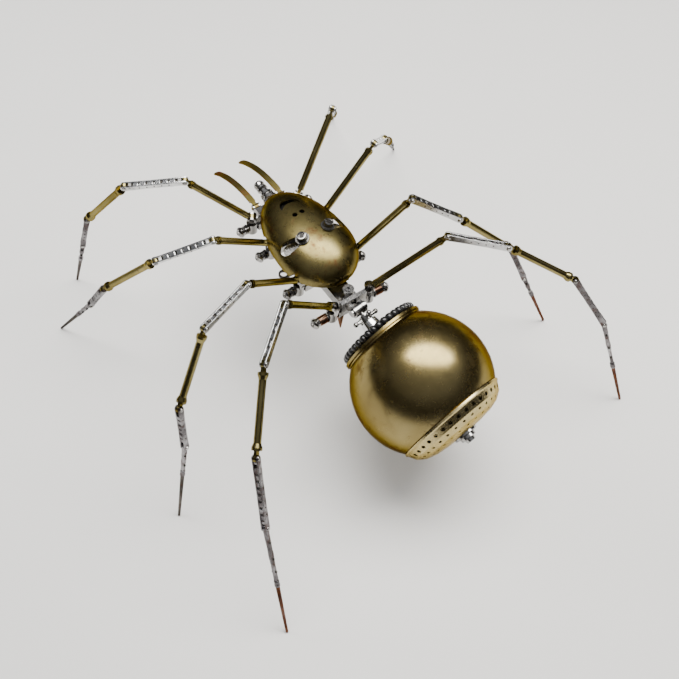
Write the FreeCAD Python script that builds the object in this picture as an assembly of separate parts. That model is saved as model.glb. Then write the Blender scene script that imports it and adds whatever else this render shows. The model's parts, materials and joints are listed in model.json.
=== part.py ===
import FreeCAD, Part
import os
from math import sin, cos, radians, sqrt, pi, hypot

# Eight-legged metal spider sculpture: a domed carapace on a bar chassis, eight articulated legs,
# two sabre-shaped palps, and a hollow ball abdomen hung from a waist hinge.
# Millimetres, +Z up, head towards -Y, the spider's left side is +X, feet on z = 0.

V = FreeCAD.Vector

# ---- fits ----
RUN = 0.05              # radial running clearance of every pin
PIN_R = 0.75            # leg pins
SIDE_GAP = 0.15         # gap each side of a tang in its fork

# ---- legs ----
FEMUR, PATELLA, TIBIA = 55.0, 34.5, 46.8
METATARSUS = (33.0, 33.0, 33.0, 40.0)
TARSUS = (22.0, 22.0, 22.0, 38.0)
ROD_R = 2.0             # brass leg rods
TANG_T = 0.8            # half thickness of a tang
EYE_R = 2.1
TANG_LEN = 4.2          # pin centre to the end of the tang's neck
PLATE_T = 0.8           # fork plates
PLATE_R = 2.0
HIP_T, HIP_EYE_R = 1.15, 2.7
HIP_Z = 84.0
HIPS = ((16.2, -63.0), (16.9, -41.2), (18.1, -10.1), (12.7, 15.4))
# azimuth from straight ahead, lean of the leg's plane, pitch of femur, patella, tibia, metatarsus, tarsus
POSES = {
    "l1": (57, -12, 50, -11, -55, -76, -76), "r1": (51, -13, 45, -49, -46, -48, -48),
    "l2": (75, -25, 47, -26, -51, -74, -67), "r2": (67, -18, 49, -42, -49, -52, -52),
    "l3": (110, 6, 42, 0, -52, -84, -71), "r3": (119, -1, 56, -33, -41, -65, -65),
    "l4": (126, 21, 51, -10, -37, -60, -66), "r4": (125, 13, 43, -10, -28, -54, -69),
}

# ---- hip hardware ----
STUD_Z, STUD_R = 76.0, 1.4
TURRET_R, TURRET_Z0, TURRET_Z1 = 3.2, 72.6, 80.1
WASHER_T = 0.6
BUSH_LEN = (1.6, 1.6, 1.6, 5.0)
NUT_R, NUT_LEN = 3.4, 4.8

# ---- carapace ----
DOME_C = V(0, -20, 88.4)
DOME_B, DOME_FRONT, DOME_REAR, DOME_H = 23.7, 45.3, 26.9, 15.0
DOME_T = 1.5
DOME_TILT = -3.0
SCREW_XY = (8.4, -22.1)

# ---- waist and abdomen ----
WAIST = V(0, 22.8, 80.6)
WAIST_YAW, WAIST_PITCH = -7.3, -13.9
BALL_T, BALL_R, BALL_WALL = 54.8, 40.2, 1.0     # ball centre along the abdomen's axis, from the waist
MOUTH_R, LIP_T = 25.0, 20.7
CAP_T = 78.9


def box(x0, x1, y0, y1, z0, z1):
    return Part.makeBox(x1 - x0, y1 - y0, z1 - z0, V(x0, y0, z0))


def ycyl(r, x, z, y0, y1):
    return Part.makeCylinder(r, y1 - y0, V(x, y0, z), V(0, 1, 0))


def xcyl(r, x0, x1, y=0.0, z=0.0):
    return Part.makeCylinder(r, x1 - x0, V(x0, y, z), V(1, 0, 0))


def zcyl(r, x, y, z0, z1):
    return Part.makeCylinder(r, z1 - z0, V(x, y, z0), V(0, 0, 1))


def xcone(r0, r1, x0, x1):
    return Part.makeCone(r0, r1, x1 - x0, V(x0, 0, 0), V(1, 0, 0))


def fuse(shapes):
    out = shapes[0]
    for s in shapes[1:]:
        out = out.fuse(s)
    return out.removeSplitter()


def turned(profile):
    """A solid turned about the Y axis from (radius, y) points; a point of four numbers is an arc's middle and end."""
    edges, here = [], V(profile[0][0], profile[0][1], 0)
    for p in profile[1:] + profile[:1]:
        end = V(p[-2], p[-1], 0)
        if len(p) == 4:
            edges.append(Part.Arc(here, V(p[0], p[1], 0), end).toShape())
        elif (end - here).Length > 1e-6:
            edges.append(Part.LineSegment(here, end).toShape())
        here = end
    return Part.Face(Part.Wire(edges)).revolve(V(0, 0, 0), V(0, 1, 0), 360)


def frame(origin, x_dir, z_dir):
    """Placement whose X and Z axes follow the two directions."""
    x = V(x_dir).normalize()
    z = V(z_dir).normalize()
    y = z.cross(x)
    return FreeCAD.Placement(FreeCAD.Matrix(x.x, y.x, z.x, origin.x, x.y, y.y, z.y, origin.y,
                                            x.z, y.z, z.z, origin.z, 0, 0, 0, 1))


def placed(shape, placement):
    out = shape.copy()
    out.Placement = placement.multiply(out.Placement)
    return out


def mirrored(shape):
    return shape.mirror(V(0, 0, 0), V(1, 0, 0))


class Leg:
    """Places and directions of one leg's joints."""

    def __init__(self, name):
        az, lean, *pitches = POSES[name]
        self.name, self.index = name, int(name[1]) - 1
        side = 1 if name[0] == "l" else -1
        az, lean = radians(az), radians(lean)
        self.out = V(side * sin(az), -cos(az), 0)
        normal = V(cos(lean) * side * cos(az), cos(lean) * sin(az), sin(lean))
        self.up = self.out.cross(normal)
        if self.up.z < 0:
            self.up = self.up * -1
        self.axis = self.out.cross(self.up)     # a positive turn about it raises the leg
        self.pitch = pitches
        x, y = HIPS[self.index]
        self.hip = V(side * x, y, HIP_Z)
        self.knee = self.hip + self.dir(0) * FEMUR
        self.shin = self.knee + self.dir(1) * PATELLA
        self.ankle = self.shin + self.dir(2) * TIBIA
        self.toe = self.ankle + self.dir(3) * METATARSUS[self.index]
        self.rod_top = self.toe + self.dir(4) * TARSUS[self.index]
        self.rod_len = self.rod_top.z / -self.dir(4).z
        self.tip = self.rod_top + self.dir(4) * self.rod_len

    def dir(self, i):
        a = radians(self.pitch[i])
        return self.out * cos(a) + self.up * sin(a)

    def lift(self, i):
        a = radians(self.pitch[i])
        return self.up * cos(a) - self.out * sin(a)

    def place(self, shape, origin, i):
        return placed(shape, frame(origin, self.dir(i), self.lift(i)))


LEGS = [Leg(n) for n in POSES]


def tang(x, way, half_t, eye_r, length):
    """Flat eye at x whose neck runs along way (+1 or -1)."""
    ends = sorted((x, x + way * length))
    solid = ycyl(eye_r, x, 0, -half_t, half_t).fuse(box(ends[0], ends[1], -half_t, half_t, -1.5, 1.5))
    return solid.cut(ycyl(PIN_R + RUN, x, 0, -half_t - 1, half_t + 1))


def femur():
    rod = xcyl(ROD_R, 4.0, FEMUR - 3.8)
    collar = xcyl(2.4, FEMUR - 6.2, FEMUR - 4.6)
    return fuse([tang(0, 1, HIP_T, HIP_EYE_R, 4.4), rod, collar, tang(FEMUR, -1, TANG_T, EYE_R, TANG_LEN)])


def tibia():
    rod = xcyl(ROD_R, 3.8, TIBIA - 3.8)
    top = xcyl(2.8, 4.0, 5.4)
    flare = xcone(2.8, 2.0, 5.4, 7.6)
    foot_flare = xcone(2.0, 2.8, TIBIA - 7.6, TIBIA - 5.4)
    foot_ring = xcyl(2.8, TIBIA - 5.4, TIBIA - 4.0)
    return fuse([tang(0, 1, TANG_T, EYE_R, TANG_LEN), rod, top, flare, foot_flare, foot_ring,
                 tang(TIBIA, -1, TANG_T, EYE_R, TANG_LEN)])


def pin(x, grip, r=PIN_R, head_r=1.35, head_t=0.6):
    """Cross pin at x with a head outside each plate; grip is half the distance over the plates."""
    return fuse([ycyl(r, x, 0, -grip, grip), ycyl(head_r, x, 0, -grip - head_t, -grip),
                 ycyl(head_r, x, 0, grip, grip + head_t)])


INNER = TANG_T + SIDE_GAP
OUTER = INNER + PLATE_T


def fork_link(length, height, pins):
    """Two parallel plates with round ends, joined by a slotted spacer, bored for pins at both ends."""
    plates = []
    for y0, y1 in ((INNER, OUTER), (-OUTER, -INNER)):
        plates += [box(0, length, y0, y1, -height, height), ycyl(PLATE_R, 0, 0, y0, y1),
                   ycyl(PLATE_R, length, 0, y0, y1)]
    spacer = box(5.2, length - 5.2, -INNER, INNER, -1.1, 1.1)
    body = fuse(plates + [spacer])
    for x in (0, length):
        body = body.cut(ycyl(PIN_R + RUN, x, 0, -OUTER - 1, OUTER + 1))
    slots = [ycyl(0.55, 8 + 3.6 * k, 0, -OUTER - 1, OUTER + 1) for k in range(int((length - 16) / 3.6) + 1)]
    return [body.cut(Part.makeCompound(slots))] + [pin(x, OUTER) for x in pins]


def foot(leg):
    meta, tars = METATARSUS[leg.index], TARSUS[leg.index]
    solids = [leg.place(s, leg.ankle, 3) for s in fork_link(meta, 1.7, (0, meta))]
    blade = [(0, 1.5), (tars - 3, 1.1), (tars - 3, -1.1), (0, -1.5)]
    face = Part.Face(Part.makePolygon([V(x, -INNER + 0.05, z) for x, z in blade + blade[:1]]))
    bar = fuse([face.extrude(V(0, 2 * INNER - 0.1, 0)), ycyl(1.8, 0, 0, -INNER + 0.05, INNER - 0.05),
                xcyl(1.5, tars - 4, tars)])
    bar = bar.cut(ycyl(PIN_R + RUN, 0, 0, -2, 2))
    solids.append(leg.place(bar, leg.toe, 4))
    rod = leg.place(xcone(1.15, 0.85, 0, leg.rod_len + 2), leg.rod_top, 4)
    floor = box(leg.tip.x - 20, leg.tip.x + 20, leg.tip.y - 20, leg.tip.y + 20, -20, 0)
    solids.append(rod.cut(floor))
    return solids


def hip_block(leg):
    """Turret on the hip stud that carries the femur's fork."""
    x, y = leg.hip.x, leg.hip.y
    turret = zcyl(TURRET_R, x, y, TURRET_Z0, TURRET_Z1)
    half = HIP_T + SIDE_GAP + 1.15
    head = fuse([box(-2.4, 2.4, -half, half, -4.9, 0), ycyl(2.9, 0, 0, -half, half)])
    head = head.cut(box(-4, 4, -HIP_T - SIDE_GAP, HIP_T + SIDE_GAP, -3.6, 4))
    head = head.cut(ycyl(PIN_R + RUN, 0, 0, -half - 1, half + 1))
    head = placed(head, frame(leg.hip, leg.out, leg.up))
    return turret.fuse(head).removeSplitter().cut(xcyl(STUD_R + RUN, x - 8, x + 8, y, STUD_Z))


def hip_pin(leg):
    return placed(pin(0, HIP_T + SIDE_GAP + 1.15), frame(leg.hip, leg.out, leg.up))


def hip_stack(leg):
    """Washer, ribbed bush and knurled nut on the stud, outboard of the turret."""
    side = 1 if leg.hip.x > 0 else -1
    y, x = leg.hip.y, abs(leg.hip.x) + TURRET_R
    washer = xcyl(3.0, x, x + WASHER_T, y, STUD_Z).cut(xcyl(STUD_R + RUN, x - 1, x + 2, y, STUD_Z))
    x += WASHER_T
    length = BUSH_LEN[leg.index]
    ribs = [xcyl(2.9, x + k * 1.6, x + k * 1.6 + 0.8, y, STUD_Z) for k in range(int(length / 1.6))]
    bush = fuse([xcyl(2.4, x, x + length, y, STUD_Z)] + ribs).cut(xcyl(STUD_R + RUN, x - 1, x + 9, y, STUD_Z))
    x += length
    rim = [V(x, y + NUT_R * cos(k * pi / 6), STUD_Z + NUT_R * sin(k * pi / 6)) for k in range(12)]
    prism = Part.Face(Part.makePolygon(rim + rim[:1])).extrude(V(NUT_LEN, 0, 0))
    nut = prism.common(Part.makeSphere(NUT_R + 0.3, V(x + NUT_LEN / 2, y, STUD_Z)))
    nut = nut.cut(xcyl(STUD_R + RUN, x - 1, x + NUT_LEN - 1, y, STUD_Z))
    parts = (washer, bush, nut)
    return parts if side > 0 else tuple(mirrored(p) for p in parts)


def hip_stud(i):
    x, y = HIPS[i]
    reach = x + TURRET_R + WASHER_T + BUSH_LEN[i] + NUT_LEN - 1.2
    return xcyl(STUD_R, -reach, reach, y, STUD_Z)


def egg(shrink):
    """Upper half of an egg: a half turn of two elliptical quarters about Y, then flattened in height."""
    b, h = DOME_B - shrink, DOME_H - shrink
    front, rear = DOME_FRONT - shrink, DOME_REAR - shrink
    steps = 12
    turn = [k * pi / 2 / steps for k in range(steps + 1)]
    pts = [V(b * cos(t), -front * sin(t), 0) for t in reversed(turn[1:])] + [V(b * cos(t), rear * sin(t), 0) for t in turn]
    curve = Part.BSplineCurve()
    curve.interpolate(pts, InitialTangent=V(1, 0, 0), FinalTangent=V(-1, 0, 0))
    face = Part.Face(Part.Wire([curve.toShape(), Part.LineSegment(pts[-1], pts[0]).toShape()]))
    half = face.revolve(V(0, 0, 0), V(0, 1, 0), -180)
    return half.transformGeometry(FreeCAD.Matrix(1, 0, 0, 0, 0, 1, 0, 0, 0, 0, h / b, 0, 0, 0, 0, 1))


DOME_PLACE = FreeCAD.Placement(DOME_C, FreeCAD.Rotation(V(1, 0, 0), DOME_TILT))


def screw_frame():
    """Place and outward normal of the left carapace screw on the dome."""
    x, y = SCREW_XY[0], SCREW_XY[1] - DOME_C.y
    z = DOME_H * sqrt(1 - (x / DOME_B) ** 2 - (y / DOME_FRONT) ** 2)
    normal = V(x / DOME_B ** 2, y / DOME_FRONT ** 2, z / DOME_H ** 2)
    normal = DOME_PLACE.Rotation.multVec(normal)
    spot = DOME_PLACE.multVec(V(x, y, z))
    across = V(0, 1, 0).cross(normal)
    return frame(spot, across, across.cross(V(0, 1, 0)))


SCREW = screw_frame()
SLOT_TURN = FreeCAD.Placement(V(0, 0, 0), FreeCAD.Rotation(V(0, 0, 1), -10))


def capsule(x0, r0, x1, r1, z0, z1):
    pts = [V(x0, -r0, z0), V(x1, -r1, z0), V(x1, r1, z0), V(x0, r0, z0)]
    prism = Part.Face(Part.makePolygon(pts + pts[:1])).extrude(V(0, 0, z1 - z0))
    return fuse([prism, zcyl(r0, x0, 0, z0, z1), zcyl(r1, x1, 0, z0, z1)])


def carapace():
    shell = placed(egg(0).cut(egg(DOME_T)), DOME_PLACE)
    slot = placed(placed(capsule(0, 3.0, 10.0, 4.1, -14, 6), SLOT_TURN), SCREW)
    brow = zcyl(6.2, 0, -46.4, 84, 112).cut(zcyl(8.0, 0, -40.4, 83, 113))
    cutters = [slot, mirrored(slot), brow, zcyl(1.5, 2.4, -38.2, 84, 112), zcyl(1.5, -2.4, -38.2, 84, 112)]
    for leg in LEGS:
        if leg.index in (1, 2):
            cutters.append(Part.makeCylinder(3.4, 24, leg.hip + leg.dir(0) * 3, leg.dir(0)))
    for c in cutters:
        shell = shell.cut(c)
    return shell


def carapace_fixings():
    """Left and right screws, washers, spacers and slot plates, in that order."""
    hexagon = [V(1.45 * cos(k * pi / 3), 1.45 * sin(k * pi / 3), 2.8) for k in range(6)]
    socket = Part.Face(Part.makePolygon(hexagon + hexagon[:1])).extrude(V(0, 0, 3))
    screw = fuse([zcyl(1.5, 0, 0, -26, 1.6), zcyl(2.75, 0, 0, 1.4, 4.4)]).cut(socket)
    wide = zcyl(4.0, 0, 0, 0.12, 0.8).cut(zcyl(1.6, 0, 0, -1, 2))
    small = zcyl(3.3, 0, 0, 0.8, 1.4).cut(zcyl(1.6, 0, 0, -1, 2))
    plate = capsule(-1, 3.2, 8.4, 4.2, -6.4, -5.6).cut(zcyl(1.6, 0, 0, -8, -4))
    ribs = [box(2.9 + 1.5 * k, 3.6 + 1.5 * k, -3.0, 3.0, -5.7, -5.1) for k in range(6)]
    ribbed = placed(fuse([plate] + ribs), SLOT_TURN)
    plate = placed(plate, SLOT_TURN)
    tube = zcyl(2.6, 0, 0, -5.6, -2.1).cut(zcyl(1.6, 0, 0, -7, 0))
    post = zcyl(2.6, 0, 0, -26, -6.4).cut(zcyl(1.6, 0, 0, -30, 0))
    place = [placed(s, SCREW) for s in (screw, wide, small, tube, post, plate, ribbed)]
    screw, wide, small, tube, post, plate, ribbed = place
    post = post.cut(box(-20, 20, -40, 0, 60, 80))
    both = lambda s: [s, mirrored(s)]
    return both(screw), both(wide) + both(small), both(tube) + both(post), [ribbed, mirrored(plate)]


PALP = V(9.0, -69.5, 83.0)
PALP_PIN_R = 0.7


def chassis():
    pieces = [box(-6, 6, -58, 16, 73.4, 80), box(-5, 5, -67, -57, 76, 89.6),
              box(-11.35, 11.35, -67, -63.5, 80.6, 85.4)]
    for x, y in HIPS:
        pieces.append(box(-x + TURRET_R, x - TURRET_R, y - 2.6, y + 2.6, 73.4, 78.2))
    for side in (-1, 1):
        for x0, x1 in ((1.45, 2.35), (-2.35, -1.45)):
            ear_x = side * PALP.x
            pieces.append(box(ear_x + x0, ear_x + x1, PALP.y, -66.5, PALP.z - 1.7, PALP.z + 1.7))
            pieces.append(xcyl(2.0, ear_x + x0, ear_x + x1, PALP.y, PALP.z))
    body = fuse(pieces)
    cutters = [xcyl(STUD_R + RUN, -30, 30, y, STUD_Z) for x, y in HIPS]
    cutters += [xcyl(PALP_PIN_R + RUN, -14, 14, PALP.y, PALP.z), ycyl(1.55, 0, 86.5, -70, -56)]
    bore = placed(zcyl(1.55, 0, 0, -28, 0), SCREW)
    cutters += [bore, mirrored(bore)]
    for c in cutters:
        body = body.cut(c)
    turrets = [zcyl(TURRET_R, s * x, y, 70, 90) for x, y in HIPS for s in (-1, 1)]
    return body.cut(Part.makeCompound(turrets))


def palp(side):
    """Curved sabre blade on a knuckle with its own pin."""
    length, drop, bulge = 48.0, 15.0, 5.0
    chord = hypot(length, drop)
    up_y, up_z = -drop / chord, length / chord
    start, end = V(0, -1, 0.4), V(0, -length, -drop)
    mid = V(0, -length / 2 + up_y * bulge, -drop / 2 + up_z * bulge)
    lower = Part.Arc(start, mid, end).toShape()
    lift = V(0, up_y, up_z) * 1.0
    upper = Part.Arc(end + lift, mid + lift, start + lift).toShape()
    wire = Part.Wire([lower, Part.LineSegment(end, end + lift).toShape(), upper,
                      Part.LineSegment(start + lift, start).toShape()])
    strip = Part.Face(wire).extrude(V(3.8, 0, 0))
    strip.translate(V(-1.9, 0, 0))
    plan = box(-1.3, 1.3, -5, 2, -30, 20).fuse(box(-1.9, 1.9, -length + 1.9, -4, -30, 20))
    plan = plan.fuse(zcyl(1.9, 0, -length + 1.9, -30, 20))
    blade = strip.common(plan)
    knuckle = xcyl(1.9, -1.3, 1.3).fuse(xcyl(PALP_PIN_R, -2.9, 2.9))
    solid = blade.fuse(knuckle).removeSplitter()
    solid.translate(V(side * PALP.x, PALP.y, PALP.z))
    return solid


def snout():
    screw = turned([(0, -57.5), (1.5, -57.5), (1.5, -76.2), (3.3, -76.4), (3.3, -77.4), (2.2, -77.9),
                    (2.2, -78.3), (3.0, -78.8), (3.3, -80.4), (2.8, -81.7), (1.5, -82.3), (0, -82.3)])
    collar = turned([(1.55, -67), (4.6, -67), (4.6, -68.4), (3.3, -68.9), (3.3, -70.8), (4.1, -71.1),
                     (4.1, -72.2), (2.7, -73.0), (2.7, -75.2), (1.55, -75.2)])
    for s in (screw, collar):
        s.translate(V(0, 0, 86.5))
    return screw, collar


def lug():
    plate = fuse([box(6, 20.2, -25.5, -19.5, 76.4, 77.8), zcyl(3.0, 20.2, -22.5, 76.4, 77.8)])
    return plate.cut(zcyl(1.9, 20.2, -22.5, 70, 80))


YAW_ROT = FreeCAD.Rotation(V(0, 0, 1), -WAIST_YAW)
WAIST_X = YAW_ROT.multVec(V(1, 0, 0))
ABD_ROT = YAW_ROT.multiply(FreeCAD.Rotation(V(1, 0, 0), WAIST_PITCH))
ABD_PLACE = FreeCAD.Placement(WAIST, ABD_ROT)
WAIST_PLACE = FreeCAD.Placement(WAIST, YAW_ROT)


def waist_bracket():
    ears = [placed(fuse([box(x0, x1, -6.2, 0, -2.3, 3.2), xcyl(3.6, x0, x1)]), WAIST_PLACE)
            for x0, x1 in ((1.9, 4.0), (-4.0, -1.9))]
    base = box(-8.4, 8.4, 16, 18.7, 78.2, 86.0)
    body = fuse([base] + ears)
    return body.cut(placed(xcyl(1.55, -8, 8), WAIST_PLACE))


def waist_pin():
    return placed(fuse([xcyl(1.5, -4.0, 4.0), xcyl(2.4, 4.0, 5.2), xcyl(2.4, -5.2, -4.0)]), WAIST_PLACE)


def rear_ring():
    """Boss, ring and socket screw on top of the chassis, behind the dome."""
    x, y = -1.0, 11.4
    boss = zcyl(2.2, x, y, 80, 84.0)
    ring = zcyl(3.3, x, y, 84.0, 86.4).cut(zcyl(2.4, x, y, 83, 88))
    hexagon = [V(x + 1.0 * cos(k * pi / 3), y + 1.0 * sin(k * pi / 3), 85.2) for k in range(6)]
    socket = Part.Face(Part.makePolygon(hexagon + hexagon[:1])).extrude(V(0, 0, 4))
    screw = zcyl(2.2, x, y, 84.0, 86.8).cut(socket)
    return [boss, ring, screw]


def spike():
    return Part.makeCone(2.3, 0.4, 10.5, V(7.0, 16.0, 73.4), V(0.08, 0.2, -1)).cut(box(0, 20, 0, 40, 73.4, 80))


def abdomen():
    mouth_in = MOUTH_R - BALL_WALL
    inner = BALL_R - BALL_WALL
    t_out = BALL_T - sqrt(BALL_R ** 2 - MOUTH_R ** 2)
    t_in = BALL_T - sqrt(inner ** 2 - mouth_in ** 2)
    back = CAP_T - BALL_T
    shell = turned([(mouth_in, LIP_T), (MOUTH_R + 1.0, LIP_T), (MOUTH_R + 1.0, LIP_T + 1.4), (MOUTH_R, LIP_T + 2),
                    (MOUTH_R, t_out), (BALL_R, BALL_T, sqrt(BALL_R ** 2 - back ** 2), CAP_T),
                    (sqrt(inner ** 2 - back ** 2), CAP_T), (inner, BALL_T, mouth_in, t_in)])
    plate = turned([(2.25, 20.6), (23.8, 20.6), (23.8, 21.6), (2.25, 21.6)])
    cup = turned([(2.25, 8.6), (3.4, 8.6), (5.2, 9.4), (6.0, 14.6), (7.4, 15.4), (7.4, 16.6), (8.6, 20.6), (2.25, 20.6)])
    cap = turned([(31.0, CAP_T + 0.05), (32.9, CAP_T + 0.05), (32.9, 80.0), (32.0, 80.6), (29.5, 84.9), (25, 88.1),
                  (19, 89.7), (12, 90.5), (3.2, 90.7), (3.2, 89.8), (12, 89.6), (18.8, 88.8), (24.6, 87.3),
                  (28.8, 84.4), (31.0, 80.5)])
    holes = []
    for count, hole_r, r, t, nr, nt in ((36, 1.15, 30.75, 82.75, 0.865, 0.503), (30, 0.85, 27.3, 86.5, 0.58, 0.815),
                                        (24, 0.8, 22.0, 88.9, 0.258, 0.966)):
        for k in range(count):
            a = 2 * pi * k / count
            n = V(nr * cos(a), nt, nr * sin(a))
            holes.append(Part.makeCylinder(hole_r, 5, V(r * cos(a), t, r * sin(a)) - n * 2.5, n))
    cap = cap.cut(Part.makeCompound(holes))
    spinneret = turned([(1.55, 90.75), (7.0, 90.75), (7.0, 91.8), (4.6, 92.4), (4.6, 94.0), (3.0, 94.4), (2.6, 96.2),
                        (1.55, 96.2)])
    eye = xcyl(3.4, -1.7, 1.7)
    tie = fuse([eye, ycyl(1.6, 0, 0, 1.5, 4.6), ycyl(2.2, 0, 0, 4.4, 21.6), ycyl(1.5, 0, 0, 21.6, 95.4)]).cut(xcyl(1.5 + RUN, -3, 3))
    teeth = []
    for k in range(80):
        r = 25.2 if k % 2 == 0 else 23.4
        for da in (-0.022, 0.022):
            a = 2 * pi * k / 80 + da
            teeth.append(V(r * cos(a), 15.8, r * sin(a)))
    ring = Part.Face(Part.makePolygon(teeth + teeth[:1])).extrude(V(0, 4.8, 0)).cut(ycyl(18.5, 0, 0, 10, 30))
    arms = [ycyl(3.4, 0, 0, 4.7, 8.5)]
    for dx, dz in ((1, 0), (-1, 0), (0, 1), (0, -1)):
        arms.append(Part.makeCylinder(1.1, 7.2, V(0, 6.6, 0), V(dx, 0, dz)))
        arms.append(Part.makeSphere(1.5, V(dx * 7.4, 6.6, dz * 7.4)))
    nut = fuse(arms).cut(ycyl(2.25, 0, 0, 0, 12))
    nodes = {"abdomen_shell": shell, "front_plate": plate, "hub_cup": cup, "perforated_cap": cap,
             "spinneret": spinneret, "tie_rod": tie, "toothed_ring": ring,
             "capstan_nut": nut}
    return {name: [placed(s, ABD_PLACE)] for name, s in nodes.items()}


def build():
    nodes = {}
    screws, washers, spacers, slot_plates = carapace_fixings()
    stacks = [hip_stack(leg) for leg in LEGS]
    snout_screw, snout_collar = snout()
    nodes["carapace_shell"] = [carapace()]
    nodes["chassis"] = [chassis()]
    nodes["carapace_screws"] = screws
    nodes["washers"] = washers + [s[0] for s in stacks]
    nodes["carapace_spacers"] = spacers
    nodes["slot_plates"] = slot_plates
    nodes["hip_studs"] = [hip_stud(i) for i in range(len(HIPS))]
    nodes["hip_blocks"] = [hip_block(leg) for leg in LEGS]
    nodes["hip_pins"] = [hip_pin(leg) for leg in LEGS]
    nodes["hip_copper_bushes"] = [s[1] for s in stacks]
    nodes["hip_knurled_nuts"] = [s[2] for s in stacks]
    nodes["lug_plates"] = [lug(), mirrored(lug())]
    nodes["snout_screw"] = [snout_screw]
    nodes["snout_collar"] = [snout_collar]
    nodes["waist_bracket"] = [waist_bracket()]
    nodes["waist_pin"] = [waist_pin()]
    nodes["rear_ring_screw"] = rear_ring()
    nodes["waist_spike"] = [spike()]
    nodes["palp_left"] = [palp(1)]
    nodes["palp_right"] = [palp(-1)]
    nodes.update(abdomen())
    for leg in LEGS:
        nodes["femur_" + leg.name] = [leg.place(femur(), leg.hip, 0)]
        nodes["patella_" + leg.name] = [leg.place(s, leg.knee, 1) for s in fork_link(PATELLA, 1.9, (0, PATELLA))]
        nodes["tibia_" + leg.name] = [leg.place(tibia(), leg.shin, 2)]
        nodes["foot_" + leg.name] = foot(leg)
    return nodes


NODES = build()
BOUNDS = Part.makeCompound([s for solids in NODES.values() for s in solids]).optimalBoundingBox(False)
SHIFT = V(-(BOUNDS.XMin + BOUNDS.XMax) / 2, -(BOUNDS.YMin + BOUNDS.YMax) / 2, -BOUNDS.ZMin)

os.makedirs("parts", exist_ok=True)
for name, solids in NODES.items():
    shape = Part.makeCompound(solids) if len(solids) > 1 else solids[0]
    shape.translate(SHIFT)
    shape.exportStep("parts/" + name + ".step")
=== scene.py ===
import json
import math

import bmesh
import bpy
from mathutils import Matrix, Vector


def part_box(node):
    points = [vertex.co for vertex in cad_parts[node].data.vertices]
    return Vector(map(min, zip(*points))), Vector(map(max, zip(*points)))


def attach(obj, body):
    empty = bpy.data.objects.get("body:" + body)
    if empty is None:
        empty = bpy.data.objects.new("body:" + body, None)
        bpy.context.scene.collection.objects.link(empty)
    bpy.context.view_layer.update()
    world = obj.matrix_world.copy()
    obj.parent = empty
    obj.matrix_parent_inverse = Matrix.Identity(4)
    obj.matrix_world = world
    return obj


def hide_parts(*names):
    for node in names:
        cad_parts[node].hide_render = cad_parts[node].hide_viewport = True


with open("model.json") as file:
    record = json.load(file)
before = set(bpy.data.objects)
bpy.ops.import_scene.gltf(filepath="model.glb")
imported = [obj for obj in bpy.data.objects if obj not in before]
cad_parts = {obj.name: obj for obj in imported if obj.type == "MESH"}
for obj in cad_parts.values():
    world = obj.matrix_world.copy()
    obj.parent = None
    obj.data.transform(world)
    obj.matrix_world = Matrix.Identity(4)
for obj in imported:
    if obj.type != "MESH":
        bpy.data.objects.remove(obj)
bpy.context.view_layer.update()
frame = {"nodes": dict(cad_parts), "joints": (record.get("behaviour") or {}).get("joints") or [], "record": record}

# An articulated metal spider sculpture. Metres, head towards -Y, feet on z = 0.
# Legs are worked out from the joints: hip, knee, shin and ankle places, and the foot tip mounts.

MM = 0.001
LEG_NAMES = [side + str(i) for side in "lr" for i in (1, 2, 3, 4)]
JOINTS = {j["name"]: j for j in frame["joints"]}
MOUNTS = {m["name"]: m for m in frame["record"]["mounts"]}

# leg sizes, as in the design
METATARSUS = {"1": 33 * MM, "2": 33 * MM, "3": 33 * MM, "4": 40 * MM}
TARSUS = {"1": 22 * MM, "2": 22 * MM, "3": 22 * MM, "4": 38 * MM}
RUSTY = ("l4", "r3", "r4")                    # legs whose last rod is rusty
# TOE_BEND, HIP_L1, DOME_HALF, DOME_FRONT, DOME_TILT, ABDOMEN_PITCH and the camera's numbers are rounded
# output of a least-squares fit, not chosen by hand.
# how far the toe is lifted (+) or tucked (-) from the line of the metatarsus, in degrees
TOE_BEND = {"l1": 0, "l2": 7, "l3": 13, "l4": -6, "r1": 0, "r2": 0, "r3": 0, "r4": -15}
GRIP_IN, GRIP_OUT = 0.95 * MM, 1.75 * MM      # inner and outer face of a link's plates
PLATE_R = 2.0 * MM

# body, in millimetres in the design's own frame, where the left front hip is at HIP_L1
HIP_L1 = Vector((16.2, -63.0, 84.0))
DOME_CENTRE = Vector((0, -20, 88.4))
DOME_HALF, DOME_FRONT, DOME_TALL = 23.7, 45.3, 15.0
DOME_TILT = math.radians(-3.0)
SCREW_X, SCREW_Y = 8.4, -2.1                  # from the middle of the dome
ABDOMEN_PITCH = math.radians(-13.9)
HUB = 3.8 * MM                                # hip centre to the start of its sleeve, along the stud
STUD_DROP = 8.0 * MM                          # hip centre down to the stud
SLEEVE, LONG_SLEEVE = 1.6 * MM, 5.0 * MM
NUT_LENGTH, NUT_R = 4.8 * MM, 3.38 * MM
BEADS = 38

# camera: offset from the middle of the carapace, and where it looks
CAM_OFFSET = Vector((0.2173, 0.3074, 0.4553))
CAM_AZ, CAM_EL, CAM_ROLL = math.radians(141.15), math.radians(56.26), math.radians(4.82)
SENSOR, LENS = 36.0, 54.63


# ---------------------------------------------------------------- materials

def principled(name):
    mat = bpy.data.materials.new(name)
    mat.use_nodes = True
    return mat, mat.node_tree.nodes, mat.node_tree.links, mat.node_tree.nodes["Principled BSDF"]


def noise_node(nodes, links, coord, scale, detail=6.0, rough=0.6):
    tex = nodes.new("ShaderNodeTexNoise")
    tex.inputs["Scale"].default_value = scale
    tex.inputs["Detail"].default_value = detail
    tex.inputs["Roughness"].default_value = rough
    links.new(coord, tex.inputs["Vector"])
    return tex.outputs["Fac"]


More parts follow.
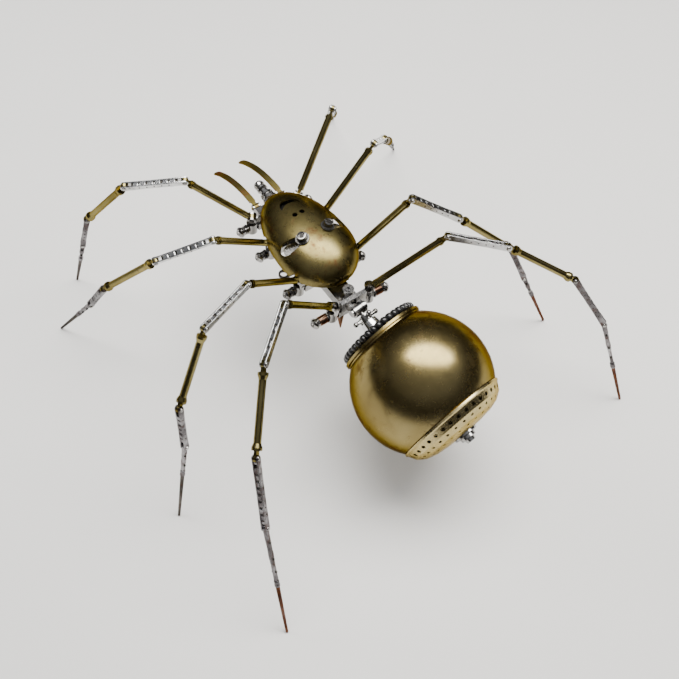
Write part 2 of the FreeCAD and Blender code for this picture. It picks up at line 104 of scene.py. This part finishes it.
def ramp(nodes, links, source, stops):
    node = nodes.new("ShaderNodeValToRGB")
    while len(node.color_ramp.elements) < len(stops):
        node.color_ramp.elements.new(0.5)
    for element, (at, colour) in zip(node.color_ramp.elements, stops):
        element.position = at
        element.color = (*colour, 1)
    links.new(source, node.inputs["Fac"])
    return node.outputs["Color"]


def blend_colour(nodes, links, fac, a, b):
    node = nodes.new("ShaderNodeMix")
    node.data_type = "RGBA"
    links.new(fac, node.inputs[0])
    links.new(a, node.inputs[6])
    links.new(b, node.inputs[7])
    return node.outputs[2]


def map_range(nodes, links, source, lo, hi, out_lo, out_hi):
    node = nodes.new("ShaderNodeMapRange")
    node.inputs["From Min"].default_value = lo
    node.inputs["From Max"].default_value = hi
    node.inputs["To Min"].default_value = out_lo
    node.inputs["To Max"].default_value = out_hi
    links.new(source, node.inputs["Value"])
    return node.outputs["Result"]


def metal(name, tones, patina, patina_at, rough, grain, bump, edge=(1, 1, 1), metallic=1.0, coat=0.0):
    """Worn metal: three tones, patches of patina, uneven roughness and a fine scratched grain."""
    mat, nodes, links, bsdf = principled(name)
    coord = nodes.new("ShaderNodeTexCoord").outputs["Object"]
    broad = noise_node(nodes, links, coord, grain * 0.12, 5, 0.55)
    fine = noise_node(nodes, links, coord, grain, 8, 0.7)
    base = ramp(nodes, links, broad, [(0.30, tones[0]), (0.5, tones[1]), (0.70, tones[2])])
    spots = noise_node(nodes, links, coord, grain * 0.33, 9, 0.72)
    mask = map_range(nodes, links, spots, patina_at, patina_at + 0.12, 0.0, 0.85)
    stain = ramp(nodes, links, fine, [(0.3, tuple(c * 0.6 for c in patina)), (0.7, patina)])
    links.new(blend_colour(nodes, links, mask, base, stain), bsdf.inputs["Base Color"])
    worn = nodes.new("ShaderNodeMath")
    worn.operation = "ADD"
    links.new(map_range(nodes, links, fine, 0.25, 0.75, rough[0], rough[1]), worn.inputs[0])
    links.new(map_range(nodes, links, spots, patina_at, patina_at + 0.15, 0.0, 0.14), worn.inputs[1])
    links.new(worn.outputs[0], bsdf.inputs["Roughness"])
    bump_node = nodes.new("ShaderNodeBump")
    bump_node.inputs["Strength"].default_value = bump
    bump_node.inputs["Distance"].default_value = 0.0002
    links.new(fine, bump_node.inputs["Height"])
    links.new(bump_node.outputs["Normal"], bsdf.inputs["Normal"])
    bsdf.inputs["Metallic"].default_value = metallic
    bsdf.inputs["Specular Tint"].default_value = (*edge, 1)
    bsdf.inputs["Coat Weight"].default_value = coat
    return mat


BRASS_EDGE = (0.34, 0.28, 0.18)
MAT = {
    "carapace_brass": metal("carapace_brass",
                            ((0.105, 0.082, 0.030), (0.17, 0.138, 0.053), (0.235, 0.195, 0.082)),
                            (0.11, 0.045, 0.020), 0.54, (0.24, 0.34), 260, 0.04, BRASS_EDGE),
    "ball_brass": metal("ball_brass", ((0.17, 0.125, 0.046), (0.25, 0.195, 0.080), (0.33, 0.27, 0.125)),
                        (0.12, 0.070, 0.032), 0.54, (0.20, 0.30), 150, 0.015, (0.28, 0.23, 0.15)),
    "cap_brass": metal("cap_brass", ((0.36, 0.28, 0.12), (0.48, 0.39, 0.19), (0.60, 0.51, 0.28)),
                       (0.20, 0.11, 0.05), 0.60, (0.20, 0.34), 420, 0.05, (0.6, 0.5, 0.3)),
    "rod_brass": metal("rod_brass", ((0.15, 0.120, 0.045), (0.24, 0.20, 0.080), (0.34, 0.29, 0.13)),
                       (0.13, 0.065, 0.03), 0.60, (0.20, 0.28), 300, 0.015, BRASS_EDGE),
    "palp_brass": metal("palp_brass", ((0.12, 0.092, 0.026), (0.175, 0.138, 0.042), (0.23, 0.185, 0.062)),
                        (0.26, 0.10, 0.035), 0.52, (0.34, 0.48), 380, 0.06, BRASS_EDGE),
    "steel": metal("steel", ((0.22, 0.212, 0.20), (0.38, 0.37, 0.355), (0.58, 0.57, 0.555)),
                   (0.06, 0.048, 0.04), 0.56, (0.10, 0.22), 380, 0.04, (0.7, 0.7, 0.7)),
    "link_steel": metal("link_steel", ((0.40, 0.40, 0.40), (0.60, 0.60, 0.60), (0.82, 0.82, 0.82)),
                        (0.06, 0.05, 0.045), 0.57, (0.10, 0.22), 500, 0.08),
    "foot_steel": metal("foot_steel", ((0.055, 0.050, 0.052), (0.15, 0.14, 0.145), (0.46, 0.45, 0.46)),
                        (0.10, 0.060, 0.052), 0.50, (0.18, 0.34), 620, 0.14, (0.6, 0.6, 0.6)),
    "dark_steel": metal("dark_steel", ((0.02, 0.018, 0.016), (0.05, 0.045, 0.040), (0.12, 0.11, 0.10)),
                        (0.10, 0.046, 0.024), 0.58, (0.22, 0.40), 600, 0.12, (0.5, 0.5, 0.5)),
    "nut_steel": metal("nut_steel", ((0.12, 0.115, 0.108), (0.27, 0.26, 0.25), (0.55, 0.54, 0.52)),
                       (0.04, 0.032, 0.027), 0.54, (0.08, 0.20), 500, 0.05, (0.6, 0.6, 0.6)),
    "rust_rod": metal("rust_rod", ((0.055, 0.026, 0.020), (0.11, 0.052, 0.038), (0.18, 0.10, 0.078)),
                      (0.22, 0.075, 0.028), 0.52, (0.36, 0.55), 900, 0.25, (0.5, 0.4, 0.35)),
    "dark_rod": metal("dark_rod", ((0.035, 0.030, 0.027), (0.08, 0.070, 0.062), (0.17, 0.155, 0.14)),
                      (0.15, 0.065, 0.033), 0.56, (0.30, 0.46), 900, 0.2, (0.5, 0.5, 0.5)),
    "copper": metal("copper", ((0.10, 0.050, 0.030), (0.20, 0.110, 0.068), (0.42, 0.27, 0.18)),
                    (0.05, 0.03, 0.022), 0.54, (0.16, 0.30), 500, 0.08, (0.6, 0.45, 0.35)),
    "black_ring": metal("black_ring",
                        ((0.004, 0.004, 0.0045), (0.007, 0.007, 0.0075), (0.013, 0.013, 0.014)),
                        (0.03, 0.026, 0.022), 0.68, (0.20, 0.34), 700, 0.05, metallic=0.0, coat=0.15),
    "black_steel": metal("black_steel", ((0.010, 0.009, 0.008), (0.02, 0.018, 0.016), (0.045, 0.04, 0.036)),
                         (0.07, 0.04, 0.025), 0.60, (0.30, 0.45), 700, 0.15, metallic=0.4),
    "chrome": metal("chrome", ((0.66, 0.66, 0.66), (0.80, 0.80, 0.80), (0.90, 0.90, 0.90)),
                    (0.28, 0.26, 0.23), 0.66, (0.05, 0.14), 500, 0.03),
}


# ---------------------------------------------------------------- mesh helpers

def add_piece(name, bm, material, body, smooth=35.0):
    bmesh.ops.remove_doubles(bm, verts=bm.verts, dist=1e-7)
    bmesh.ops.recalc_face_normals(bm, faces=bm.faces)
    mesh = bpy.data.meshes.new(name)
    bm.to_mesh(mesh)
    bm.free()
    piece = bpy.data.objects.new(name, mesh)
    bpy.context.scene.collection.objects.link(piece)
    mesh.materials.append(MAT[material])
    mesh.shade_smooth()
    mesh.set_sharp_from_angle(angle=math.radians(smooth))
    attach(piece, body)
    return piece


def axes_at(x, y, z, origin):
    return Matrix(((x.x, y.x, z.x, origin.x), (x.y, y.y, z.y, origin.y), (x.z, y.z, z.z, origin.z),
                   (0, 0, 0, 1)))


def basis(origin, along, up):
    """Matrix whose X runs along a direction and whose Z is as near to up as it can be."""
    x = along.normalized()
    y = up.cross(x).normalized()
    return axes_at(x, y, x.cross(y), origin)


def lathe(bm, place, profile, segments=48):
    """Turns (distance along X, radius) points about X. A closed profile is a ring, an open one a spindle."""
    rings = []
    for t, r in profile:
        if r < 1e-9:
            rings.append([bm.verts.new(place @ Vector((t, 0, 0)))])
        else:
            angles = [2 * math.pi * k / segments for k in range(segments)]
            ring = [Vector((t, r * math.cos(a), r * math.sin(a))) for a in angles]
            rings.append([bm.verts.new(place @ point) for point in ring])
    for a, b in zip(rings, rings[1:]):
        n = max(len(a), len(b))
        for k in range(n):
            quad = [a[k % len(a)], a[(k + 1) % len(a)], b[(k + 1) % len(b)], b[k % len(b)]]
            unique = [v for i, v in enumerate(quad) if v not in quad[:i]]
            if len(unique) > 2:
                bm.faces.new(unique)


def prism(bm, place, outline, y0, y1):
    """Extrudes an (x, z) outline from y0 to y1."""
    low = [bm.verts.new(place @ Vector((x, y0, z))) for x, z in outline]
    high = [bm.verts.new(place @ Vector((x, y1, z))) for x, z in outline]
    bm.faces.new(low)
    bm.faces.new(list(reversed(high)))
    for k in range(len(outline)):
        n = (k + 1) % len(outline)
        bm.faces.new([low[k], low[n], high[n], high[k]])


def cross_pin(bm, place, x, half, radius, head, segments=20):
    """Pin across the link at x, with a domed head each end."""
    turn = Matrix.Translation((x, 0, 0)) @ Matrix.Rotation(math.pi / 2, 4, "Z")
    t = 0.6 * MM
    profile = [(-half - t, 0), (-half - t, head * 0.55), (-half - t * 0.6, head * 0.9), (-half, head),
               (-half, radius), (half, radius), (half, head), (half + t * 0.6, head * 0.9),
               (half + t, head * 0.55), (half + t, 0)]
    lathe(bm, place @ turn, profile, segments)


def bevel(piece, width, segments=2):
    mod = piece.modifiers.new("bevel", "BEVEL")
    mod.width = width
    mod.segments = segments
    mod.limit_method = "ANGLE"
    return piece


# ---------------------------------------------------------------- legs

class Leg:
    def __init__(self, name):
        self.name = name
        self.hip = Vector(JOINTS["hip_" + name]["pos_m"])
        self.knee = Vector(JOINTS["knee_" + name]["pos_m"])
        self.shin = Vector(JOINTS["shin_" + name]["pos_m"])
        self.ankle = Vector(JOINTS["ankle_" + name]["pos_m"])
        self.tip = Vector(MOUNTS["foot_tip_" + name]["pos_m"])
        self.axis = Vector(JOINTS["ankle_" + name]["axis"]).normalized()
        chord = self.tip - self.ankle
        bend = math.radians(TOE_BEND[name])
        meta = METATARSUS[name[1]]
        rest = -meta * math.cos(bend) + math.sqrt(chord.length ** 2 - (meta * math.sin(bend)) ** 2)
        at_ankle = math.asin(rest * math.sin(bend) / chord.length)
        self.toe = self.ankle + Matrix.Rotation(-at_ankle, 3, self.axis) @ chord.normalized() * meta
        self.rod_top = self.toe + (self.tip - self.toe).normalized() * TARSUS[name[1]]

    def place(self, a, b):
        return basis(a, b - a, self.axis.cross(b - a))


def link_outline(length, half, waist=1.0):
    """Side view of a link plate: round ends, and a slightly narrower middle."""
    pts = []
    for k in range(9):
        a = math.pi / 2 + math.pi * k / 8
        pts.append((half * math.cos(a), half * math.sin(a)))
    pts += [(length * 0.3, -half * waist), (length * 0.7, -half * waist)]
    for k in range(9):
        a = -math.pi / 2 + math.pi * k / 8
        pts.append((length + half * math.cos(a), half * math.sin(a)))
    pts += [(length * 0.7, half * waist), (length * 0.3, half * waist)]
    return pts


def plate_link(name, place, length, body, windows, half=PLATE_R, tone="link_steel"):
    """Two plates, a row of stepped blocks and a dark core between them, and a few cross rivets."""
    bm = bmesh.new()
    for y0, y1 in ((GRIP_IN, GRIP_OUT), (-GRIP_OUT, -GRIP_IN)):
        prism(bm, place, link_outline(length, half, 0.84), y0, y1)
    plates = bevel(add_piece(name + "_plates", bm, tone, body), 0.14 * MM)
    bm = bmesh.new()
    clear = 4.6 * MM
    span = (length - 2 * clear) / windows
    for k in range(windows):
        x0 = clear + k * span + 0.35 * MM
        x1 = x0 + span - 0.7 * MM
        tall = (1.62 if k % 2 == 0 else 1.35) * MM
        cut = 0.45 * MM
        block = [(x0, -tall * 0.8), (x1, -tall * 0.8), (x1, tall - cut), (x1 - cut, tall), (x0 + cut, tall),
                 (x0, tall - cut)]
        prism(bm, place, block, -GRIP_IN * 0.99, GRIP_IN * 0.99)
    bevel(add_piece(name + "_blocks", bm, tone, body), 0.1 * MM)
    bm = bmesh.new()
    prism(bm, place, [(4.2 * MM, -1.0 * MM), (length - 4.2 * MM, -1.0 * MM), (length - 4.2 * MM, 0.9 * MM),
                      (4.2 * MM, 0.9 * MM)], -GRIP_IN * 0.97, GRIP_IN * 0.97)
    for k in range(windows - 1):
        cross_pin(bm, place, clear + (k + 1) * span, GRIP_OUT - 0.42 * MM, 0.35 * MM, 0.55 * MM, 10)
    add_piece(name + "_core", bm, "dark_steel", body)
    bm = bmesh.new()
    cross_pin(bm, place, 0, GRIP_OUT, 0.75 * MM, 1.35 * MM)
    add_piece(name + "_pin", bm, "nut_steel", body)
    return plates


def build_leg(leg):
    n = leg.name
    # patella
    place = leg.place(leg.knee, leg.shin)
    length = (leg.shin - leg.knee).length
    plates = plate_link("patella_link_" + n, place, length, "patella_" + n, 6)
    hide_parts("patella_" + n)
    bm = bmesh.new()
    cross_pin(bm, place, length, GRIP_OUT, 0.75 * MM, 1.35 * MM)
    add_piece("shin_pin_" + n, bm, "steel", "patella_" + n)
    # metatarsus
    place = leg.place(leg.ankle, leg.toe)
    length = (leg.toe - leg.ankle).length
    meta = plate_link("metatarsus_" + n, place, length, "foot_" + n, 8 if n[1] == "4" else 6, 1.75 * MM,
                      "foot_steel")
    bm = bmesh.new()
    cross_pin(bm, place, length, GRIP_OUT, 0.7 * MM, 1.2 * MM)
    add_piece("toe_rivet_" + n, bm, "steel", "foot_" + n)
    # tarsus and rod
    place = leg.place(leg.toe, leg.tip)
    tars = (leg.rod_top - leg.toe).length
    total = (leg.tip - leg.toe).length
    bm = bmesh.new()
    turns = [math.pi / 2 + math.pi * k / 8 for k in range(9)]
    outline = [(1.8 * MM * math.cos(a), 1.6 * MM * math.sin(a)) for a in turns]
    outline += [(tars * 0.35, -1.15 * MM), (tars * 0.45, -1.45 * MM), (tars * 0.6, -1.0 * MM),
                (tars - 3 * MM, -1.0 * MM), (tars - 3 * MM, 1.0 * MM), (tars * 0.6, 1.0 * MM),
                (tars * 0.45, 1.45 * MM), (tars * 0.35, 1.15 * MM)]
    prism(bm, place, outline, -0.9 * MM, 0.9 * MM)
    ferrule = [(tars - 4.2 * MM, 0), (tars - 4.2 * MM, 1.35 * MM), (tars - 3.6 * MM, 1.55 * MM),
               (tars - 2.6 * MM, 1.3 * MM), (tars - 1.6 * MM, 1.55 * MM), (tars - 0.4 * MM, 1.5 * MM),
               (tars, 1.2 * MM), (tars, 0)]
    lathe(bm, place, ferrule, 24)
    bevel(add_piece("tarsus_" + n, bm, "foot_steel", "foot_" + n), 0.12 * MM)
    bm = bmesh.new()
    studs = [0.24, 0.52, 0.74] if n[1] == "4" else [0.3, 0.62]
    for f in studs:
        cross_pin(bm, place, tars * f, 1.0 * MM, 0.4 * MM, 0.7 * MM, 12)
    add_piece("tarsus_studs_" + n, bm, "dark_steel", "foot_" + n)
    bm = bmesh.new()
    slope = abs((leg.tip - leg.toe).normalized().z)
    round_tip = 0.75 * MM
    centre = total - round_tip / slope
    rod = [(tars - 0.2 * MM, 0), (tars - 0.2 * MM, 1.12 * MM), (tars + 1 * MM, 1.15 * MM),
           (centre, round_tip)]
    rod += [(centre + round_tip * math.sin(a), round_tip * math.cos(a)) for a in (0.4, 0.8, 1.15)]
    rod += [(centre + round_tip, 0)]
    lathe(bm, place, rod, 20)
    add_piece("foot_rod_" + n, bm, "rust_rod" if n in RUSTY else "dark_rod", "foot_" + n)
    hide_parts("foot_" + n)


# ---------------------------------------------------------------- hips

def ball_nut(name, at, way, length, radius):
    """Faceted ball nut between two turned flanges."""
    bm = bmesh.new()
    place = basis(at, Vector((way, 0, 0)), Vector((0, 0, 1)))
    bmesh.ops.create_icosphere(bm, subdivisions=2, radius=1.0)
    for v in bm.verts:
        v.co = place @ Vector((length * 0.5 + v.co.x * length * 0.47, v.co.y * radius, v.co.z * radius))
    lathe(bm, place, [(0, 0), (0, radius * 0.72), (0.5 * MM, radius * 0.80), (1.0 * MM, radius * 0.74),
                      (1.0 * MM, 0)], 32)
    end = length * 0.985
    lathe(bm, place, [(end - 0.9 * MM, 0), (end - 0.9 * MM, radius * 0.50), (end - 0.2 * MM, radius * 0.48),
                      (end, radius * 0.40), (end, radius * 0.26), (end - 0.5 * MM, radius * 0.24),
                      (end - 0.5 * MM, 0)], 24)
    return add_piece(name, bm, "nut_steel", "thorax", 12)


def sleeve(name, at, way, length, material):
    """Ribbed sleeve between the hip turret's washer and its nut."""
    bm = bmesh.new()
    place = basis(at, Vector((way, 0, 0)), Vector((0, 0, 1)))
    ribs = max(2, round(length / (0.85 * MM)))
    pitch = length / ribs
    profile = [(0, 1.6 * MM)]
    for k in range(ribs):
        x = k * pitch
        profile += [(x + 0.02 * MM, 2.35 * MM), (x + pitch * 0.22, 2.80 * MM),
                    (x + pitch * 0.62, 2.80 * MM), (x + pitch * 0.84, 2.35 * MM)]
    profile += [(length, 2.3 * MM), (length, 1.6 * MM), (0, 1.6 * MM)]
    lathe(bm, place, profile, 40)
    return add_piece(name, bm, material, "thorax", 40)


def hips():
    nuts, sleeves = [], []
    for name in LEG_NAMES:
        hip = Vector(JOINTS["hip_" + name]["pos_m"])
        way = 1 if name[0] == "l" else -1
        long, material = (LONG_SLEEVE, "copper") if name[1] == "4" else (SLEEVE, "nut_steel")
        start = hip + Vector((way * HUB, 0, -STUD_DROP))
        end = start + Vector((way * long, 0, 0))
        sleeves.append(sleeve("hip_sleeve_" + name, start, way, long, material))
        nuts.append(ball_nut("hip_nut_" + name, end, way, NUT_LENGTH, NUT_R))
    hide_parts("hip_knurled_nuts")
    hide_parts("hip_copper_bushes")


def screw_places():
    """Where the two carapace screws leave the dome: X out along the screw."""
    shift = Vector(JOINTS["hip_l1"]["pos_m"]) - HIP_L1 * MM
    tilt = Matrix.Rotation(DOME_TILT, 4, "X")
    for way in (1, -1):
        x, y = way * SCREW_X, SCREW_Y
        z = DOME_TALL * math.sqrt(1 - (x / DOME_HALF) ** 2 - (y / DOME_FRONT) ** 2)
        spot = tilt @ Vector((x, y, z)) + DOME_CENTRE
        normal = tilt.to_3x3() @ Vector((x / DOME_HALF ** 2, y / DOME_FRONT ** 2, z / DOME_TALL ** 2))
        yield "left" if way > 0 else "right", basis(spot * MM + shift, normal, Vector((0, 1, 0)))


def carapace_screws():
    """Socket screws with a black hexagon in the socket as painted shade, each with a dark ring round the foot of
    its head as a painted contact shadow.
    """
    for name, place in screw_places():
        bm = bmesh.new()
        lathe(bm, place, [(-20 * MM, 0), (-20 * MM, 1.45 * MM), (1.42 * MM, 1.45 * MM),
                          (1.42 * MM, 2.6 * MM), (1.6 * MM, 2.72 * MM), (3.9 * MM, 2.72 * MM),
                          (4.3 * MM, 2.4 * MM), (4.36 * MM, 1.95 * MM), (4.1 * MM, 1.62 * MM),
                          (3.7 * MM, 1.55 * MM), (3.7 * MM, 0)], 48)
        add_piece("screw_head_" + name, bm, "steel", "thorax", 30)
        bm = bmesh.new()
        # black hexagon filling the socket: painted shade of the socket hole
        lathe(bm, place, [(3.5 * MM, 0), (3.5 * MM, 1.5 * MM), (3.95 * MM, 1.5 * MM),
                          (3.95 * MM, 0)], 6)
        add_piece("screw_socket_" + name, bm, "black_steel", "thorax", 20)
        # dark ring round the foot of the head: painted contact shadow
        bm = bmesh.new()
        lathe(bm, place, [(1.40 * MM, 2.80 * MM), (1.40 * MM, 3.24 * MM), (1.62 * MM, 3.16 * MM),
                          (1.62 * MM, 2.80 * MM), (1.40 * MM, 2.80 * MM)], 48)
        add_piece("screw_groove_" + name, bm, "black_steel", "thorax", 30)
    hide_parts("carapace_screws")


def inner_baffle():
    """Dark domed plate under the brow opening, painted shade standing in for the dark inside, so the openings look
    into shadow.
    """
    lo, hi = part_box("carapace_shell")
    middle = (lo.x + hi.x) / 2
    bm = bmesh.new()
    rows, columns = 14, 12
    grid = []
    for i in range(rows + 1):
        y = lo.y + (6.5 + 24 * i / rows) * MM
        row = []
        for k in range(columns + 1):
            x = (-9.5 + 19 * k / columns) * MM
            ahead = (y - (lo.y + DOME_FRONT * MM)) / (DOME_FRONT * MM)
            drop = 1 - (x / (DOME_HALF * MM)) ** 2 - ahead ** 2
            z = hi.z - 15.6 * MM + 11.6 * MM * math.sqrt(max(0.02, drop)) - 0.3 * MM
            row.append((Vector((middle + x, y, z)), Vector((middle + x, y, z - 0.8 * MM))))
        grid.append(row)
    top = [[bm.verts.new(p[0]) for p in row] for row in grid]
    low = [[bm.verts.new(p[1]) for p in row] for row in grid]
    for i in range(rows):
        for k in range(columns):
            bm.faces.new([top[i][k], top[i][k + 1], top[i + 1][k + 1], top[i + 1][k]])
            bm.faces.new([low[i][k], low[i + 1][k], low[i + 1][k + 1], low[i][k + 1]])
    for i in range(rows):
        for k in (0, columns):
            bm.faces.new([top[i][k], top[i + 1][k], low[i + 1][k], low[i][k]])
    for k in range(columns):
        for i in (0, rows):
            bm.faces.new([top[i][k], top[i][k + 1], low[i][k + 1], low[i][k]])
    add_piece("inner_baffle", bm, "black_steel", "thorax")


# ---------------------------------------------------------------- abdomen

def abdomen_place():
    """X runs from the waist to the back of the ball."""
    joint = JOINTS["waist_pitch"]
    across = Vector(joint["axis"]).normalized()
    level = Vector((0, 0, 1)).cross(across)
    along = Matrix.Rotation(ABDOMEN_PITCH, 3, across) @ level
    return basis(Vector(joint["pos_m"]), along, across.cross(along))


def beaded_ring(place):
    """Black ring threaded with faceted beads, in front of the ball's mouth."""
    bm = bmesh.new()
    half, r = 1.95 * MM, 2.36 * MM
    lathe(bm, place, [(16.2 * MM, 18.9 * MM), (16.2 * MM, 22.6 * MM), (20.4 * MM, 22.6 * MM),
                      (20.4 * MM, 18.9 * MM), (16.2 * MM, 18.9 * MM)], 96)
    for k in range(BEADS):
        spin = place @ Matrix.Rotation(2 * math.pi * k / BEADS, 4, "X")
        bead = spin @ Matrix.Translation((18.15 * MM, 0, 22.75 * MM)) @ Matrix.Rotation(math.pi / 2, 4, "Z")
        profile = [(-half, 0), (-half, r * 0.45), (-half * 0.72, r * 0.8), (-half * 0.3, r * 0.98),
                   (half * 0.3, r * 0.98), (half * 0.72, r * 0.8), (half, r * 0.45), (half, 0)]
        lathe(bm, bead, profile, 14)
    ring = add_piece("beaded_ring", bm, "black_ring", "abdomen", 40)
    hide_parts("toothed_ring")


def carry_over():
    """The CAD nodes whose shape is already right get their finished material."""
    by_slot = {s["node"]: s["material_slot"] for s in frame["record"]["subparts"]}
    special = {"perforated_cap": "cap_brass", "palp_left": "palp_brass", "palp_right": "palp_brass",
               "hip_pins": "dark_steel", "carapace_screws": "steel"}
    for name, obj in frame["nodes"].items():
        material = MAT[special.get(name, by_slot[name])]
        for slot in obj.material_slots:
            slot.material = material


def studio():
    bm = bmesh.new()
    size = 3.0
    corners = ((-size, -size), (size, -size), (size, size), (-size, size))
    bm.faces.new([bm.verts.new((x, y, 0)) for x, y in corners])
    mesh = bpy.data.meshes.new("floor")
    bm.to_mesh(mesh)
    bm.free()
    floor = bpy.data.objects.new("floor", mesh)
    bpy.context.scene.collection.objects.link(floor)
    mat, nodes, links, bsdf = principled("floor")
    coord = nodes.new("ShaderNodeTexCoord").outputs["Object"]
    soft = noise_node(nodes, links, coord, 3.0)
    paint = ramp(nodes, links, soft, [(0.3, (0.82, 0.81, 0.79)), (0.7, (0.85, 0.84, 0.82))])
    links.new(paint, bsdf.inputs["Base Color"])
    bsdf.inputs["Roughness"].default_value = 0.6
    mesh.materials.append(mat)

    world = bpy.data.worlds.new("studio")
    bpy.context.scene.world = world
    world.use_nodes = True
    nodes, links = world.node_tree.nodes, world.node_tree.links
    split = nodes.new("ShaderNodeSeparateXYZ")
    links.new(nodes.new("ShaderNodeTexCoord").outputs["Generated"], split.inputs[0])
    sky = ramp(nodes, links, split.outputs["Z"],
               [(0.0, (0.03, 0.026, 0.022)), (0.38, (0.07, 0.065, 0.06)), (0.62, (0.30, 0.30, 0.31)),
                (1.0, (0.50, 0.51, 0.53))])
    links.new(sky, nodes["Background"].inputs["Color"])
    nodes["Background"].inputs["Strength"].default_value = 0.8

    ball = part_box("abdomen_shell")
    ball = (Vector(ball[0]) + Vector(ball[1])) / 2
    for name, way, far, size, power, tint in (
            ("key", (-0.20, -0.14, 0.97), 1.00, (1.30, 0.60), 24.0, (1.0, 0.985, 0.95)),
            ("side", (-0.80, 0.42, 0.42), 1.20, (0.30, 0.9), 5.0, (1.0, 0.97, 0.93)),
            ("front", (0.55, -0.75, 0.36), 1.20, (0.8, 0.30), 6.0, (0.97, 0.98, 1.0))):
        light = bpy.data.lights.new(name, "AREA")
        light.shape = "ELLIPSE"
        light.size, light.size_y = size
        light.energy = power
        light.color = tint
        lamp = bpy.data.objects.new(name, light)
        back = Vector(way).normalized()
        long = Vector((-0.82, 0.57, 0))
        side = (long - back * long.dot(back)).normalized()
        turn = Matrix((side, back.cross(side), back)).transposed()
        lamp.matrix_world = Matrix.Translation(ball + back * far) @ turn.to_4x4()
        lamp.visible_glossy = name == "key"
        bpy.context.scene.collection.objects.link(lamp)


def camera():
    lo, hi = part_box("carapace_shell")
    centre = (Vector(lo) + Vector(hi)) / 2
    level = Vector((math.sin(CAM_AZ), -math.cos(CAM_AZ), 0)) * math.cos(CAM_EL)
    back = level + Vector((0, 0, math.sin(CAM_EL)))
    right = (-back).cross(Vector((0, 0, 1))).normalized()
    up = right.cross(-back)
    x = right * math.cos(CAM_ROLL) + up * math.sin(CAM_ROLL)
    y = -right * math.sin(CAM_ROLL) + up * math.cos(CAM_ROLL)
    cam = bpy.data.cameras.new("camera")
    cam.sensor_width = SENSOR
    cam.lens = LENS
    obj = bpy.data.objects.new("camera", cam)
    obj.matrix_world = axes_at(x, y, back, centre + CAM_OFFSET)
    bpy.context.scene.collection.objects.link(obj)
    bpy.context.scene.camera = obj


camera()
studio()
carry_over()
for leg_name in LEG_NAMES:
    build_leg(Leg(leg_name))
hips()
carapace_screws()
# dark plate under the brow: painted shade
inner_baffle()
beaded_ring(abdomen_place())
